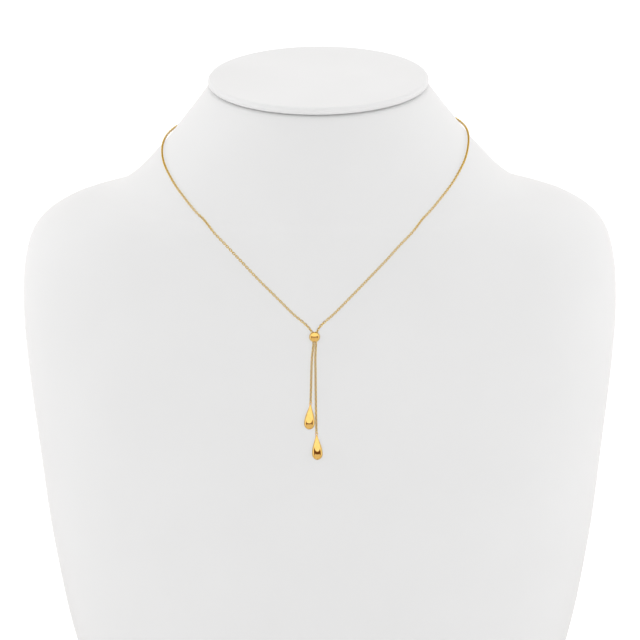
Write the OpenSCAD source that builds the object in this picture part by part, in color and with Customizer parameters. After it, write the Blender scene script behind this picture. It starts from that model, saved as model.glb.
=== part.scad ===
// A fine lariat necklace: a cable chain round the neck, both strands drawn through a small ball,
// and a teardrop on each end. It lies on the plain neck-and-shoulders bust that shows it.
// Lengths are in millimetres. Z is up, and the front of the bust faces -Y.

/* [Bust] */
// Width across the shoulders
bust_w = 250; // [225:1:285]
// Height of the neck's top above the base
bust_h = 284; // [262:1:305]
// Depth of the chest in front of the neck's axis
chest_depth = 70; // [60:1:82]
// Depth of the back behind the neck's axis
back_depth = 52; // [44:1:64]
// Forward lean of the neck's top, in degrees
neck_lean_angle = 8; // [4:0.5:12]
// Radius of the edge round the neck's top
neck_round = 1.6; // [0.8:0.1:3]

/* [Cap plate] */
// Thickness of the oval plate on the neck
cap_t = 3.2; // [2.4:0.1:5]
// How far the plate stands out past the neck
cap_lip = 0.9; // [0.3:0.1:2.5]
// Height of the plate's middle above its rim
cap_crown = 0.6; // [0.2:0.1:1.5]
// Shadow gap between the neck and the plate
cap_gap = 0.3; // [0.2:0.05:0.6]

/* [Chain] */
// Diameter of the chain's wire
wire_d = 0.28; // [0.24:0.01:0.31]
// Length of a link over its outside
link_l = 1.67; // [1.6:0.01:1.9]
// Width of a link over its outside
link_w = 1.1; // [1.06:0.01:1.2]
// Slack between two links that pull on each other
link_play = 0.14; // [0.12:0.01:0.18]
// Links on the short strand, from the ball to its drop
short_links = 30; // [24:1:38]
// Links on the long strand, from the ball to its drop
long_links = 43; // [40:1:60]

/* [Ball] */
// Diameter of the ball
ball_d = 4.4; // [3.6:0.1:5]
// Clearance between the strands, and between a strand and the bore
strand_play = 0.13; // [0.1:0.01:0.25]

/* [Drops] */
// Diameter of a drop at its widest
drop_d = 4.35; // [3.4:0.05:5]
// Length of a drop below its loop
drop_l = 9.8; // [8:0.1:12]
// Diameter of the drop's neck, under its loop
drop_neck_d = 0.9; // [0.7:0.05:1.2]
// Share of the drop's length that is rounded off below its widest part
drop_bottom_share = 0.25; // [0.2:0.01:0.35]
// Power of the drop's swell from its neck to its widest part: a smaller one widens it sooner
drop_swell_power = 0.73; // [0.6:0.01:1.2]
// Diameter of the loop on a drop, over its outside
loop_d = 1.5; // [1.4:0.02:1.8]
// Diameter of the loop's wire
loop_wire_d = 0.3; // [0.26:0.02:0.32]

/* [Clasp] */
// Diameter of the ring clasp over its outside
clasp_d = 5.6; // [4.6:0.1:7]
// Diameter of the clasp's tube
clasp_wire_d = 1.1; // [0.8:0.05:1.4]

/* [Fit] */
// Gap between the bust and whatever lies on it
rest_gap = 0.35; // [0.25:0.05:0.5]

/* [Hidden] */
$fn = 48;

// Sections of the bust from the base up. Height is a share of bust_h, half width of half of bust_w,
// front of chest_depth, back of back_depth and lean of neck_lean_angle. Roundness is the power of the oval.
// Columns: height, half width, front, back, roundness, lean
SECTIONS = [
    [0.00, 0.73, 0.93, 0.90, 2.4, 0],
    [0.15, 0.85, 0.985, 0.95, 2.4, 0],
    [0.31, 0.92, 1.00, 0.98, 2.4, 0],
    [0.46, 0.96, 0.985, 1.00, 2.4, 0],
    [0.59, 0.99, 0.955, 1.00, 2.4, 0.1],
    [0.68, 1.00, 0.915, 1.00, 2.4, 0.15],
    [0.755, 0.985, 0.87, 0.98, 2.3, 0.2],
    [0.80, 0.94, 0.83, 0.96, 2.2, 0.25],
    [0.83, 0.84, 0.80, 0.93, 2.1, 0.35],
    [0.85, 0.68, 0.765, 0.89, 2.0, 0.5],
    [0.90, 0.545, 0.69, 0.83, 2.0, 0.65],
    [0.955, 0.44, 0.61, 0.78, 2.0, 0.85],
    [1.00, 0.36, 0.555, 0.76, 2.0, 1.0]
];

// The way of the chain over the bust, from the ball to the middle of the back.
// Columns: angle from the front in degrees, height share, share of the ball's stand-off
LEFT_ROUTE = [
    [-5, 0.7025, 0.8], [-10, 0.719, 0.35], [-16, 0.7421, 0.1], [-23, 0.7687, 0], [-30, 0.7964, 0],
    [-36, 0.8195, 0], [-42, 0.838, 0], [-50, 0.8553, 0], [-60, 0.8768, 0], [-72, 0.8976, 0],
    [-90, 0.916, 0], [-115, 0.926, 0], [-145, 0.932, 0], [-180, 0.935, 0]
];
RIGHT_ROUTE = [
    [0.4, 0.702, 0.8], [5, 0.7175, 0.35], [11, 0.74, 0.1], [18, 0.7665, 0], [25, 0.7926, 0],
    [31, 0.816, 0], [38, 0.8382, 0], [46, 0.8577, 0], [56, 0.8804, 0], [68, 0.9032, 0],
    [85, 0.924, 0], [110, 0.9315, 0], [145, 0.9345, 0], [180, 0.935, 0]
];
// The way of each drop chain below the ball, in the same columns
SHORT_ROUTE = [
    [-2.95, 0.655, 0.7], [-3.15, 0.635, 0.2], [-3.3, 0.61, 0], [-3.5, 0.58, 0.1],
    [-3.55, 0.54, 0.1], [-3.55, 0.48, 0.1], [-3.55, 0.40, 0.1]
];
LONG_ROUTE = [
    [-1.75, 0.655, 0.7], [-1.7, 0.635, 0.2], [-1.68, 0.61, 0], [-1.58, 0.57, 0],
    [-1.45, 0.54, 0.1], [-1.1, 0.48, 0.1], [-0.9, 0.42, 0.1], [-0.9, 0.34, 0.1]
];
// Where the ball lies: angle from the front, and height share
ball_angle = -2.0;
ball_share = 0.6857;
// Sideways turn of a drop from its chain's way, in degrees round the bust
short_drop_turn = -0.45;
long_drop_turn = 0.25;
// How much further out than the long drop the short one's belly lies, leaning by the long strand
short_drop_rise = 1.2;

// Mesh fineness of the bust, the strands and the links
bust_sides = 48;
steps_per_section = 2;
edge_steps = 3;
tube_sides = 8;
tube_rings = 40;
link_wire_sides = 5;
link_end_steps = 4;
route_steps = 12;
drop_steps = 10;
// Steps over which the bust's slope is measured, in degrees round it and as a share of its height
angle_step = 0.1;
share_step = 0.0005;

// A link's own sizes
pitch = link_l - 2 * wire_d - link_play;
link_bend = (link_w - wire_d) / 2;
link_straight = (link_l - link_w) / 2;
// Links lie turned by 45 degrees to the bust, one to each side in turn
link_turn = 45;
strand_half = link_bend * cos(link_turn) + wire_d / 2;
strand_gap = 2 * strand_half + strand_play;
bore_d = 2 * (norm([strand_gap / 2 + strand_half - wire_d / 2, strand_half - wire_d / 2])
    + wire_d / 2 + strand_play);

// Stand-off of the chain's, the ball's, the drops' and the clasp's middles from the bust
chain_off = rest_gap + link_w / 2;
ball_off = rest_gap + ball_d / 2;
drop_off = rest_gap + drop_d / 2;
clasp_off = rest_gap + clasp_wire_d / 2;

// Height of the bore's mouth over the ball's middle, and of the first link's middle
mouth_up = sqrt(ball_d * ball_d - bore_d * bore_d) / 2;
first_link_up = mouth_up - link_straight - wire_d;
tube_up = mouth_up + link_w / 2;

// From the last link's middle to the wire at the top of the drop's loop
loop_hang = link_l / 2 - wire_d - link_play - loop_wire_d / 2;
// From the clasp's middle to the middle of a loop on its side, and to the end of the chain
clasp_loop_at = (clasp_d + loop_d - loop_wire_d) / 2;
clasp_reach = clasp_loop_at + loop_d / 2 + strand_play;
// From the wire at the top of a drop's loop to the widest part of the drop
belly_down = loop_d - loop_wire_d / 2 + drop_l * (1 - drop_bottom_share);

// Slope of a column of a table at a row
function table_slope(rows, i, c) =
    let (low = max(i - 1, 0), high = min(i + 1, len(rows) - 1))
    (rows[high][c] - rows[low][c]) / (rows[high][0] - rows[low][0]);

// Value of a column at height share h, on a smooth curve through the rows
function smooth_between(rows, i, c, h) =
    let (
        span = rows[i + 1][0] - rows[i][0],
        f = (h - rows[i][0]) / span,
        a = rows[i][c],
        b = rows[i + 1][c],
        slope_a = table_slope(rows, i, c) * span,
        slope_b = table_slope(rows, i + 1, c) * span
    )
    a + slope_a * f + (3 * (b - a) - 2 * slope_a - slope_b) * f * f
        + (2 * (a - b) + slope_a + slope_b) * f * f * f;

function row_below(rows, h) =
    max([0, for (i = [0 : len(rows) - 2]) if (rows[i][0] <= h) i]);

function section_at(h) =
    let (i = row_below(SECTIONS, h))
    [for (c = [1 : 5]) smooth_between(SECTIONS, i, c, h)];

// Distance from the axis to the oval's edge at an angle from the front
function oval_reach(s, angle) =
    let (
        half_w = s[0] * bust_w / 2,
        depth = cos(angle) > 0 ? s[1] * chest_depth : s[2] * back_depth
    )
    pow(pow(abs(sin(angle)) / half_w, s[3]) + pow(abs(cos(angle)) / depth, s[3]), -1 / s[3]);

// Point of the bust at an angle from the front and a height share, drawn in by inset and raised by rise
function bust_point(angle, h, inset = 0, rise = 0) =
    let (
        s = section_at(h),
        reach = oval_reach(s, angle) - inset,
        lean = s[4] * neck_lean_angle,
        y = -reach * cos(angle)
    )
    [reach * sin(angle), y * cos(lean) - rise * sin(lean), h * bust_h + y * sin(lean) + rise * cos(lean)];

function unit(v) = v / norm(v);

function bust_normal(angle, h) =
    unit(cross(bust_point(angle + angle_step, h) - bust_point(angle - angle_step, h),
        bust_point(angle, h + share_step) - bust_point(angle, h - share_step)));

// A place is [angle, height share, stand-off]; its point lies that far off the bust
function place_point(p) = bust_point(p[0], p[1]) + p[2] * bust_normal(p[0], p[1]);

// Millimetres round the bust at the ball, in degrees
function turn_of(width) = width / oval_reach(section_at(ball_share), ball_angle) * 180 / PI;

// Table rows with their third column turned into a stand-off
function places(rows) = [for (r = rows) [r[0], r[1], chain_off + r[2] * (ball_off - chain_off)]];

// The straight stretch of a strand through the ball
function ball_places(side, ups) =
    [for (up = ups) [ball_angle + side * turn_of(strand_gap / 2), ball_share + up / bust_h, ball_off]];

// The strand from the ball's mouth to the middle of the back, starting clear of the first link
function neck_places(side, rows) =
    concat([[ball_angle + side * turn_of(strand_gap / 2 + wire_d), ball_share + tube_up / bust_h, ball_off]],
        places(rows));

function drop_places(side, rows) =
    concat(ball_places(side, [first_link_up, 0, -first_link_up - ball_d / 2]), places(rows));

// Point on a smooth curve through the places; u counts places from the first
function curve_place(list, u) =
    let (
        last = len(list) - 1,
        i = min(floor(u), last - 1),
        f = u - i,
        b = list[i],
        c = list[i + 1],
        a = i > 0 ? list[i - 1] : 2 * b - c,
        d = i + 2 <= last ? list[i + 2] : 2 * c - b
    )
    (2 * b + (c - a) * f + (2 * a - 5 * b + 4 * c - d) * f * f + (3 * b - a - 3 * c + d) * f * f * f) / 2;

// Table of length along the curve against u, for finding the place at a given length
function curve_lengths(list) =
    let (
        count = (len(list) - 1) * route_steps,
        points = [for (k = [0 : count]) place_point(curve_place(list, k / route_steps))]
    )
    [for (k = 0, s = 0; k <= count; k = k + 1, s = s + (k <= count ? norm(points[k] - points[k - 1]) : 0))
        [s, k / route_steps]];

function place_at(list, lengths, s) = curve_place(list, lookup(s, lengths));

// Frame at a length along the curve: point, direction and outward normal square to it
function frame_at(list, lengths, s) =
    let (
        p = place_at(list, lengths, s),
        point = place_point(p),
        above = place_point(place_at(list, lengths, s - wire_d)),
        below = place_point(place_at(list, lengths, s + wire_d)),
        direction = unit(below - above),
        n = bust_normal(p[0], p[1]),
        out = unit(n - (n * direction) * direction)
    )
    [point, direction, out];

// Faces of a skin over rings of points, each seen clockwise from outside
function skin_faces(rings, sides) =
    [for (i = [0 : rings - 2]) for (k = [0 : sides - 1]) for (half = [0, 1])
        let (
            low = i * sides + k,
            low_next = i * sides + (k + 1) % sides,
            high = low + sides,
            high_next = low_next + sides
        )
        half == 0 ? [low, high_next, low_next] : [low, high, high_next]];

// Solid over a stack of rings, with a flat face at each end
module ring_solid(rings) {
    sides = len(rings[0]);
    count = len(rings);
    first = [for (k = [0 : sides - 1]) k];
    last = [for (k = [sides - 1 : -1 : 0]) (count - 1) * sides + k];
    polyhedron([for (ring = rings) for (p = ring) p], concat([first], skin_faces(count, sides), [last]));
}

// Solid over rings that run round and meet again
module loop_solid(rings) {
    sides = len(rings[0]);
    count = len(rings);
    points = [for (ring = rings) for (p = ring) p];
    faces = skin_faces(count + 1, sides);
    polyhedron(points, [for (f = faces) [for (v = f) v % (count * sides)]]);
}

// Turn of a link about its chain's direction
function link_turned(i) = i % 2 == 0 ? link_turn : -link_turn;

// Ring of the bust at a height share
function bust_ring(h, inset = 0, rise = 0) =
    [for (k = [0 : bust_sides - 1]) bust_point(k * 360 / bust_sides, h, inset, rise)];

short_places = drop_places(-1, SHORT_ROUTE);
long_places = drop_places(1, LONG_ROUTE);

// Length of a drop's chain down to the wire of the drop's loop
function hang_length(links) = (links - 1) * pitch + loop_hang;

// Where the widest part of a drop lies, below its chain's last link
function belly_place(list, links, turn_by, rise = 0) =
    let (p = place_at(list, curve_lengths(list), hang_length(links)))
    [p[0] + turn_by, p[1] - belly_down / bust_h, drop_off + rise];

// The bust's axis stands so that the base's middle is the middle of the whole depth
long_belly = place_point(belly_place(long_places, long_links, long_drop_turn));
axis_y = (drop_d / 2 - long_belly[1] - back_depth) / 2;

// Children moved to a point, with their axes along the given directions
module set_at(point, x, y, z) {
    multmatrix([
        [x[0], y[0], z[0], point[0]],
        [x[1], y[1], z[1], point[1]],
        [x[2], y[2], z[2], point[2]],
        [0, 0, 0, 1]
    ])
        children();
}

// Moves the bust's axis to its place over the base
module on_axis() {
    translate([0, axis_y, 0]) children();
}

module neck_bust() {
    heights = [for (i = [0 : len(SECTIONS) - 2]) for (k = [0 : steps_per_section - 1])
        SECTIONS[i][0] + (SECTIONS[i + 1][0] - SECTIONS[i][0]) * k / steps_per_section];
    edge_angles = [for (k = [0 : edge_steps]) 90 * k / edge_steps];
    color("white") on_axis() ring_solid(concat(
        [for (h = heights) bust_ring(h)],
        [for (a = edge_angles) bust_ring(1, neck_round * (1 - cos(a)), neck_round * (sin(a) - 1))]
    ));
}

module bust_cap() {
    rim = cap_t / 2;
    rim_angles = [for (k = [0 : 2 * edge_steps]) 90 * k / edge_steps - 90];
    crown_inset = section_at(1)[1] * chest_depth / 2;
    color("white") on_axis() ring_solid(concat(
        [for (a = rim_angles) bust_ring(1, rim * (1 - cos(a)) - cap_lip, cap_gap + rim * (1 + sin(a)))],
        [bust_ring(1, crown_inset, cap_gap + cap_t + cap_crown)]
    ));
}

// The chain round one side of the neck, as a tube of the chain's width
module strand_tube(list) {
    lengths = curve_lengths(list);
    total = lengths[len(lengths) - 1][0] - clasp_reach;
    color("gold") on_axis() ring_solid([for (k = [0 : tube_rings - 1])
        let (
            f = frame_at(list, lengths, total * k / (tube_rings - 1)),
            side = cross(f[1], f[2])
        )
        [for (m = [0 : tube_sides - 1]) let (a = 360 * m / tube_sides)
            f[0] + link_w / 2 * (cos(a) * f[2] + sin(a) * side)]]);
}

module neck_chain_left() {
    strand_tube(neck_places(-1, LEFT_ROUTE));
}

module neck_chain_right() {
    strand_tube(neck_places(1, RIGHT_ROUTE));
}

// One link lying along x, flat in the xy plane
module link() {
    angles = [for (end = [0, 1]) for (k = [0 : link_end_steps]) [end, 180 * (end + k / link_end_steps) - 90]];
    loop_solid([for (e = angles) let (a = e[1], x = link_straight * (1 - 2 * e[0]))
        [for (m = [0 : link_wire_sides - 1])
            let (b = 360 * m / link_wire_sides, r = link_bend + wire_d / 2 * cos(b))
            [x + r * cos(a), r * sin(a), -wire_d / 2 * sin(b)]]]);
}

// Interlocking links along a curve, turned to one side and the other in turn
module drop_chain(list, links) {
    lengths = curve_lengths(list);
    color("gold") on_axis() for (i = [0 : links - 1]) {
        f = frame_at(list, lengths, i * pitch);
        turn = link_turned(i);
        across = cos(turn) * cross(f[2], f[1]) + sin(turn) * f[2];
        set_at(f[0], f[1], across, cross(f[1], across)) link();
    }
}

module drop_chain_short() {
    drop_chain(short_places, short_links);
}

module drop_chain_long() {
    drop_chain(long_places, long_links);
}

// The ball, bored along the strands
module slide_ball() {
    ends = [for (up = [-1, 1]) place_point([ball_angle, ball_share + up / bust_h, ball_off])];
    direction = unit(ends[1] - ends[0]);
    out = bust_normal(ball_angle, ball_share);
    side = unit(cross(out, direction));
    color("gold") on_axis()
        set_at(place_point([ball_angle, ball_share, ball_off]), side, cross(direction, side), direction)
            difference() {
                sphere(d = ball_d);
                cylinder(d = bore_d, h = 2 * ball_d, center = true);
            }
}

// A ring of round wire in the xy plane
module wire_ring(outer_d, thickness) {
    rotate_extrude() translate([(outer_d - thickness) / 2, 0]) circle(d = thickness);
}

// A drop hanging along z from the wire at the top of its loop
module teardrop() {
    loop_r = (loop_d - loop_wire_d) / 2;
    // The loop is soldered into the drop's flat tip by a quarter of its wire
    top = 2 * loop_r + loop_wire_d / 4;
    bottom_l = drop_l * drop_bottom_share;
    neck_r = drop_neck_d / 2;
    belly_r = drop_d / 2;
    translate([0, 0, loop_r]) rotate([90, 0, 0]) wire_ring(loop_d, loop_wire_d);
    rotate_extrude() polygon(concat(
        [[0, top]],
        [for (k = [0 : drop_steps]) let (f = k / drop_steps)
            [neck_r + (belly_r - neck_r) * (1 - cos(180 * pow(f, drop_swell_power))) / 2,
                top + (belly_down - top) * f]],
        [for (k = [1 : drop_steps - 1]) let (a = 90 * k / drop_steps)
            [belly_r * cos(a), belly_down + bottom_l * sin(a)]],
        [[0, belly_down + bottom_l * sin(90 * (drop_steps - 1) / drop_steps)]]
    ));
}

// A drop hung in the last link of its chain, with its belly on the bust
module hung_drop(list, links, turn_by, rise = 0) {
    f = frame_at(list, curve_lengths(list), hang_length(links));
    direction = unit(place_point(belly_place(list, links, turn_by, rise)) - f[0]);
    turn = link_turned(links);
    across = cos(turn) * cross(f[2], f[1]) + sin(turn) * f[2];
    x = unit(across - (across * direction) * direction);
    color("gold") on_axis() set_at(f[0], x, cross(direction, x), direction) teardrop();
}

module teardrop_short() {
    hung_drop(short_places, short_links, short_drop_turn, short_drop_rise);
}

module teardrop_long() {
    hung_drop(long_places, long_links, long_drop_turn);
}

// The ring clasp on the back of the neck, with a loop soldered on each side for the chain's ends
module clasp() {
    place = [180, LEFT_ROUTE[len(LEFT_ROUTE) - 1][1], clasp_off];
    out = bust_normal(place[0], place[1]);
    side = [1, 0, 0];
    color("gold") on_axis() set_at(place_point(place), side, cross(out, side), out) {
        wire_ring(clasp_d, clasp_wire_d);
        for (s = [-1, 1])
            translate([s * clasp_loop_at, 0, 0]) rotate([90, 0, 0]) wire_ring(loop_d, loop_wire_d);
    }
}

neck_bust();
bust_cap();
neck_chain_left();
neck_chain_right();
slide_ball();
drop_chain_short();
drop_chain_long();
teardrop_short();
teardrop_long();
clasp();
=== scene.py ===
"""Looks of a fine gold lariat necklace lying on its white neck bust.

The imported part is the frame. Each piece is worked out here from the sizes that the part's source
has, in metres, and it stands where the node stands that it replaces. Z is up and the chest faces -Y.
"""

import logging
import math
from collections.abc import Iterable
from dataclasses import dataclass, field
from enum import Enum

import bpy
import numpy as np
from mathutils import Matrix, Vector


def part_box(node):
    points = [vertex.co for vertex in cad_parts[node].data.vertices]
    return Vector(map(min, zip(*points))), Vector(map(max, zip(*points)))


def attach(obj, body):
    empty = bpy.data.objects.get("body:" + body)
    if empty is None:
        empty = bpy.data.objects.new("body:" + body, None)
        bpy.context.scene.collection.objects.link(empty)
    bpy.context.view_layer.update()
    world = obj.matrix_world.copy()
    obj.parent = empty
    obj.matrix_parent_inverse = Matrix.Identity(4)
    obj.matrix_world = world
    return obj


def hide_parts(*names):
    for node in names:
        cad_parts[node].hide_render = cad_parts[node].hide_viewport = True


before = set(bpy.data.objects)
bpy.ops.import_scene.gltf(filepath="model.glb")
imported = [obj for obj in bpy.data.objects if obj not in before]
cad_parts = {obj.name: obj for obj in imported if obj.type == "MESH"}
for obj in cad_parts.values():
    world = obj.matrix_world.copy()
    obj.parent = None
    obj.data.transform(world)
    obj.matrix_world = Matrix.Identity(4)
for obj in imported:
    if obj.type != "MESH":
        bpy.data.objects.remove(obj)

Socket = bpy.types.NodeSocket
Numbers = np.ndarray | float
Range = tuple[float, float]
Color = tuple[float, float, float]
Route = tuple[tuple[float, float, float], ...]

MM = 0.001
BODY = "root"
# Name of the links' point attribute that holds their painted shade
SHADE = "shade"
# Axes of a piece that is turned a quarter about x
UPRIGHT = np.array([[1, 0, 0], [0, 0, 1], [0, -1, 0]])
# Watts of an area light per square metre that match a background strength of 1
WATTS_PER_AREA = 4.0
log = logging.getLogger("lariat")


class Slot(Enum):
    """Material slots of the part's record."""

    BUST_SKIN = "bust_skin"
    CAP_SKIN = "cap_skin"
    CHAIN_GOLD = "chain_gold"
    POLISHED_GOLD = "polished_gold"


class Side(Enum):
    """Side of the bust as seen from the front. The value is the sign of its angles."""

    LEFT = -1
    RIGHT = 1


# Meshes


@dataclass
class Skin:
    """Closed surface: its points, and its faces as quads and triangles of point numbers.

    Links also carry, for each point, a painted shade from 0 to 1: how much the other links would shade it.
    """

    points: np.ndarray
    quads: np.ndarray
    triangles: np.ndarray = field(default_factory=lambda: np.zeros((0, 3), int))
    shade: np.ndarray | None = None

    def volume(self) -> float:
        """Signed volume: a sixth of the sum over all triangles of a . (b x c).

        Returns:
            The volume, above 0 where the faces point out.
        """
        split = np.concatenate([self.quads[:, [0, 1, 2]], self.quads[:, [0, 2, 3]], self.triangles])
        a, b, c = (self.points[split[:, corner]] for corner in range(3))
        return float(np.einsum("ij,ij->", a, np.cross(b, c))) / 6

    def facing_out(self) -> "Skin":
        """Turns the surface over where its faces point inwards.

        Returns:
            The same surface, facing out.
        """
        if self.volume() >= 0:
            return self
        return Skin(self.points, self.quads[:, ::-1], self.triangles[:, ::-1])


def grid_quads(rows: int, columns: int, rows_close: bool, columns_close: bool) -> np.ndarray:
    """Quads between the neighbours of a grid of points that are numbered row by row.

    Args:
        rows: Number of rows.
        columns: Number of points in a row.
        rows_close: Whether the last row meets the first.
        columns_close: Whether the last point of a row meets its first.

    Returns:
        Four point numbers for each quad.
    """
    row = np.arange(rows if rows_close else rows - 1)[:, None]
    column = np.arange(columns if columns_close else columns - 1)[None, :]
    next_row = (row + 1) % rows
    next_column = (column + 1) % columns
    corners = (
        row * columns + column,
        row * columns + next_column,
        next_row * columns + next_column,
        next_row * columns + column,
    )
    return np.stack(np.broadcast_arrays(*corners), axis=-1).reshape(-1, 4)


def stacked_skin(rings: np.ndarray, low_pole: np.ndarray, high_pole: np.ndarray) -> Skin:
    """Closed surface over a stack of rings, drawn to a point at each end.

    Args:
        rings: Points as ring, point of the ring, coordinate.
        low_pole: Point that closes the first ring.
        high_pole: Point that closes the last ring.

    Returns:
        The surface, facing out.
    """
    rows, columns = rings.shape[:2]
    column = np.arange(columns)
    next_column = (column + 1) % columns
    last = (rows - 1) * columns
    poles = rows * columns + np.zeros((2, columns), int) + np.array([[0], [1]])
    low_fan = np.stack([next_column, column, poles[0]], axis=-1)
    high_fan = np.stack([last + column, last + next_column, poles[1]], axis=-1)
    points = np.concatenate([rings.reshape(-1, 3), [low_pole], [high_pole]])
    quads = grid_quads(rows, columns, False, True)
    return Skin(points, quads, np.concatenate([low_fan, high_fan])).facing_out()


def looped_skin(rings: np.ndarray) -> Skin:
    """Closed surface over rings that run round and meet again."""
    rows, columns = rings.shape[:2]
    return Skin(rings.reshape(-1, 3), grid_quads(rows, columns, True, True)).facing_out()


def repeated_skin(copies: np.ndarray) -> Skin:
    """One mesh of many equal ring-shaped pieces.

    Args:
        copies: Points as copy, ring, point of the ring, coordinate.

    Returns:
        The surface of all copies, facing out.
    """
    count, rows, columns = copies.shape[:3]
    quads = grid_quads(rows, columns, True, True)
    shift = np.arange(count)[:, None, None] * rows * columns
    return Skin(copies.reshape(-1, 3), (quads + shift).reshape(-1, 4)).facing_out()


def joined_skins(skins: Iterable[Skin]) -> Skin:
    """Joins several surfaces, each with its point numbers raised by the points before it.

    Args:
        skins: The surfaces, each closed by itself.

    Returns:
        One surface of them all.
    """
    points, quads, triangles, start = [], [], [], 0
    for skin in skins:
        points.append(skin.points)
        quads.append(skin.quads + start)
        triangles.append(skin.triangles + start)
        start += len(skin.points)
    return Skin(*(np.concatenate(part) for part in (points, quads, triangles)))


def moved_skin(skin: Skin, axes: np.ndarray, middle: np.ndarray) -> Skin:
    """The skin with its x, y and z laid along the rows of axes, round a middle point."""
    return Skin(skin.points @ axes + middle, skin.quads, skin.triangles).facing_out()


def revolved_rings(radii: np.ndarray, heights: np.ndarray, sides: int) -> np.ndarray:
    """Rings round z: each point is (r cos t, r sin t, height) for t in equal steps of a turn.

    Args:
        radii: Radius of each ring.
        heights: Height of each ring.
        sides: Points in a ring.

    Returns:
        Points as ring, point of the ring, coordinate.
    """
    turn = np.linspace(0, 2 * np.pi, sides, endpoint=False)
    x = radii[:, None] * np.cos(turn)
    y = radii[:, None] * np.sin(turn)
    z = np.broadcast_to(heights[:, None], x.shape)
    return np.stack([x, y, z], axis=-1)


def wire_ring(outer_d: float, wire_d: float, steps: int, sides: int) -> Skin:
    """Ring of round wire about z: a circle of the wire's radius carried round the ring's own circle.

    Args:
        outer_d: Diameter over the outside.
        wire_d: Diameter of the wire.
        steps: Points round the ring.
        sides: Points round the wire.

    Returns:
        The ring's surface.
    """
    turn = np.linspace(0, 2 * np.pi, sides, endpoint=False)
    radii = (outer_d - wire_d) / 2 + wire_d / 2 * np.cos(turn)
    return looped_skin(revolved_rings(radii, wire_d / 2 * np.sin(turn), steps))


def place_piece(
    name: str, skin: Skin, node: str, slot: Slot, material: bpy.types.Material
) -> bpy.types.Object:
    """Makes the object of a piece, at the origin, on the body, and hides the node that it stands for.

    Args:
        name: Name of the piece.
        skin: Its surface in the frame's own place.
        node: CAD node that it replaces.
        slot: Slot of the record that its finish belongs to.
        material: Its finish.

    Returns:
        The object.
    """
    mesh = bpy.data.meshes.new(name)
    mesh.from_pydata(skin.points.tolist(), [], skin.quads.tolist() + skin.triangles.tolist())
    mesh.polygons.foreach_set("use_smooth", np.ones(len(mesh.polygons), bool))
    # Painted shade of the links, which their finish darkens the colour by
    if skin.shade is not None:
        mesh.attributes.new(SHADE, "FLOAT", "POINT").data.foreach_set("value", skin.shade)
    mesh.materials.append(material)
    piece = bpy.data.objects.new(name, mesh)
    bpy.context.collection.objects.link(piece)
    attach(piece, BODY)
    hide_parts(node)
    piece.visible_diffuse = slot in (Slot.BUST_SKIN, Slot.CAP_SKIN)
    log.info("%s: %d points, %d faces, for %s", name, len(mesh.vertices), len(mesh.polygons), node)
    return piece


# Finishes


class NodeBench:
    """Adds nodes to the tree of a material or world in short calls."""

    def __init__(self, owner: bpy.types.Material | bpy.types.World) -> None:
        """Empties the owner's tree.

        Args:
            owner: Material or world whose tree the bench fills.
        """
        owner.use_nodes = True
        self.tree = owner.node_tree
        self.tree.nodes.clear()

    def add(self, kind: str, inputs: dict | None = None, **settings: object) -> bpy.types.Node:
        """Adds a node.

        Args:
            kind: Type name of the node.
            inputs: For each input, by name or number, a socket to link or a value to set.
            settings: Properties of the node.

        Returns:
            The node.
        """
        node = self.tree.nodes.new(kind)
        for name, value in settings.items():
            setattr(node, name, value)
        for key, value in (inputs or {}).items():
            if isinstance(value, Socket):
                self.tree.links.new(value, node.inputs[key])
            else:
                node.inputs[key].default_value = value
        return node

    def math(self, operation: str, *values: object) -> Socket:
        """Result of a Math node over the given sockets or numbers."""
        return self.add("ShaderNodeMath", dict(enumerate(values)), operation=operation).outputs[0]

    def between(self, value: Socket, source: Range, target: Range = (0, 1), kind: str = "LINEAR") -> Socket:
        """Carries a value over from one range to another, and holds it at both ends.

        Args:
            value: Value to carry over.
            source: Range that it comes from.
            target: Range that it goes to.
            kind: Kind of step between the ends, as the Map Range node names it.

        Returns:
            The value in the target range.
        """
        inputs = {"Value": value}
        for name, (low, high) in (("From", source), ("To", target)):
            inputs[f"{name} Min"], inputs[f"{name} Max"] = low, high
        return self.add("ShaderNodeMapRange", inputs, interpolation_type=kind).outputs["Result"]

    def noise(self, place: Socket, cell: float, detail: float = 2.0) -> Socket:
        """Noise from 0 to 1 whose patches are about one cell, in metres, across."""
        inputs = {"Vector": place, "Scale": 1 / cell, "Detail": detail}
        return self.add("ShaderNodeTexNoise", inputs).outputs["Fac"]

    def bump(self, height: Socket, depth: float, base: Socket | None = None, dents: bool = False) -> Socket:
        """Relief on a surface.

        Args:
            height: Height of the relief, from 0 to 1.
            depth: Depth of the relief at height 1, in metres.
            base: Normal of a coarser relief under it.
            dents: Whether the relief goes inwards.

        Returns:
            The normal.
        """
        inputs = {"Height": height, "Strength": 1.0, "Distance": depth}
        if base:
            inputs["Normal"] = base
        return self.add("ShaderNodeBump", inputs, invert=dents).outputs["Normal"]

    def mixed_color(self, share: Socket, low: object, high: object) -> Socket:
        """Mixes two colours.

        Args:
            share: How much of the high colour there is, from 0 to 1.
            low: Colour at share 0, as a socket or three values.
            high: Colour at share 1, the same.

        Returns:
            The mixed colour.
        """
        inputs = {"Factor": share, "A": low, "B": high}
        node = self.add("ShaderNodeMix", data_type="RGBA")
        for socket in node.inputs:
            if socket.enabled and socket.name in inputs:
                value = inputs[socket.name]
                if isinstance(value, Socket):
                    self.tree.links.new(value, socket)
                else:
                    socket.default_value = (*value, 1)
        return next(socket for socket in node.outputs if socket.enabled)

    def object_place(self) -> Socket:
        """Place of a surface point in the object's own coordinates."""
        return self.add("ShaderNodeTexCoord").outputs["Object"]

    def finish(self, inputs: dict[str, object]) -> None:
        """Ends the tree of a material with one surface shader."""
        shader = self.add("ShaderNodeBsdfPrincipled", inputs)
        self.add("ShaderNodeOutputMaterial", {"Surface": shader.outputs["BSDF"]})


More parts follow.
